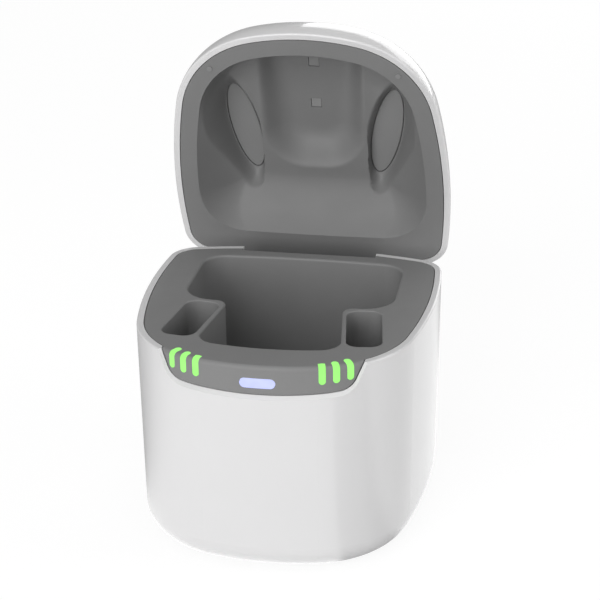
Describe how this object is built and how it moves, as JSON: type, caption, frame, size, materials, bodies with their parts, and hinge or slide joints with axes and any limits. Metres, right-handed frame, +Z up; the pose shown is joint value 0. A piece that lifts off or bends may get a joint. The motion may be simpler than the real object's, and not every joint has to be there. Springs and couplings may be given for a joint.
{
  "type": "hearing aid dryer",
  "caption": "Table-top dryer for hearing aids: rounded white case with a grey tray of wells, hinged domed lid, light bars and a lit button at the front.",
  "frame": {"origin": "middle of the case's plan, on the table, in the underside of the non-slip mat", "axes": "+Z up, -Y towards the user's side with the button and light bars, +X to the right as the user sees it"},
  "size_m": [0.086, 0.1148, 0.1379],
  "materials": {
    "white_case": "satin moulded",
    "grey_tray": "fine matte",
    "grey_liner": "fine matte",
    "dark_pad": "matte",
    "green_light": "lit, frosted",
    "blue_white_light": "lit, frosted",
    "clear_window": "frosted",
    "black_plastic": "moulded",
    "dark_ferrite": "pressed",
    "board_green": "solder mask",
    "led_white": "moulded",
    "steel": "zinc plated",
    "copper": "enamelled wire",
    "heater_metal": "finned"
  },
  "bodies": {
    "case": {"outer_housing": "white_case", "top_deck": "grey_tray", "foot_mat": "dark_pad", "left_light_bars": "green_light", "right_light_bars": "green_light", "tact_switch": "black_plastic", "indicator_board": "board_green", "indicator_leds": "led_white", "indicator_screws": "steel", "main_board": "board_green", "board_parts": "black_plastic", "case_screws": "steel", "power_socket_shell": "steel", "power_socket_tongue": "black_plastic", "charge_coils": "copper", "ferrite_sheets": "dark_ferrite", "heater_plate": "heater_metal", "fan_frame": "black_plastic", "fan_screws": "steel", "hinge_pin": "steel"},
    "lid": {"lid_shell": "white_case", "lid_liner": "grey_liner", "left_lid_pad": "dark_pad", "right_lid_pad": "dark_pad", "front_window": "clear_window", "rear_window": "clear_window", "lamp_board": "board_green", "lamp_leds": "led_white", "flange_bumpers": "dark_pad", "hinge_arm": "grey_tray", "arm_screws": "steel"},
    "status_button": {"status_button": "blue_white_light", "switch_plunger": "black_plastic"},
    "fan": {"fan_rotor": "black_plastic"}
  },
  "joints": [
    {"name": "lid_hinge", "type": "hinge", "parent": "case", "child": "lid", "pos_m": [0, 0.04103, 0.0519], "axis": [1, 0, 0], "range_deg": [0, 72.6]},
    {"name": "button_press", "type": "slide", "parent": "case", "child": "status_button", "axis": [0, 1, 0], "range_m": [0, 0.0004], "stiffness_N_per_m": 400, "springref_m": -0.001},
    {"name": "fan_spin", "type": "hinge", "parent": "case", "child": "fan", "pos_m": [0, 0.014, 0.0132], "axis": [0, 0, 1], "continuous": true}
  ]
}
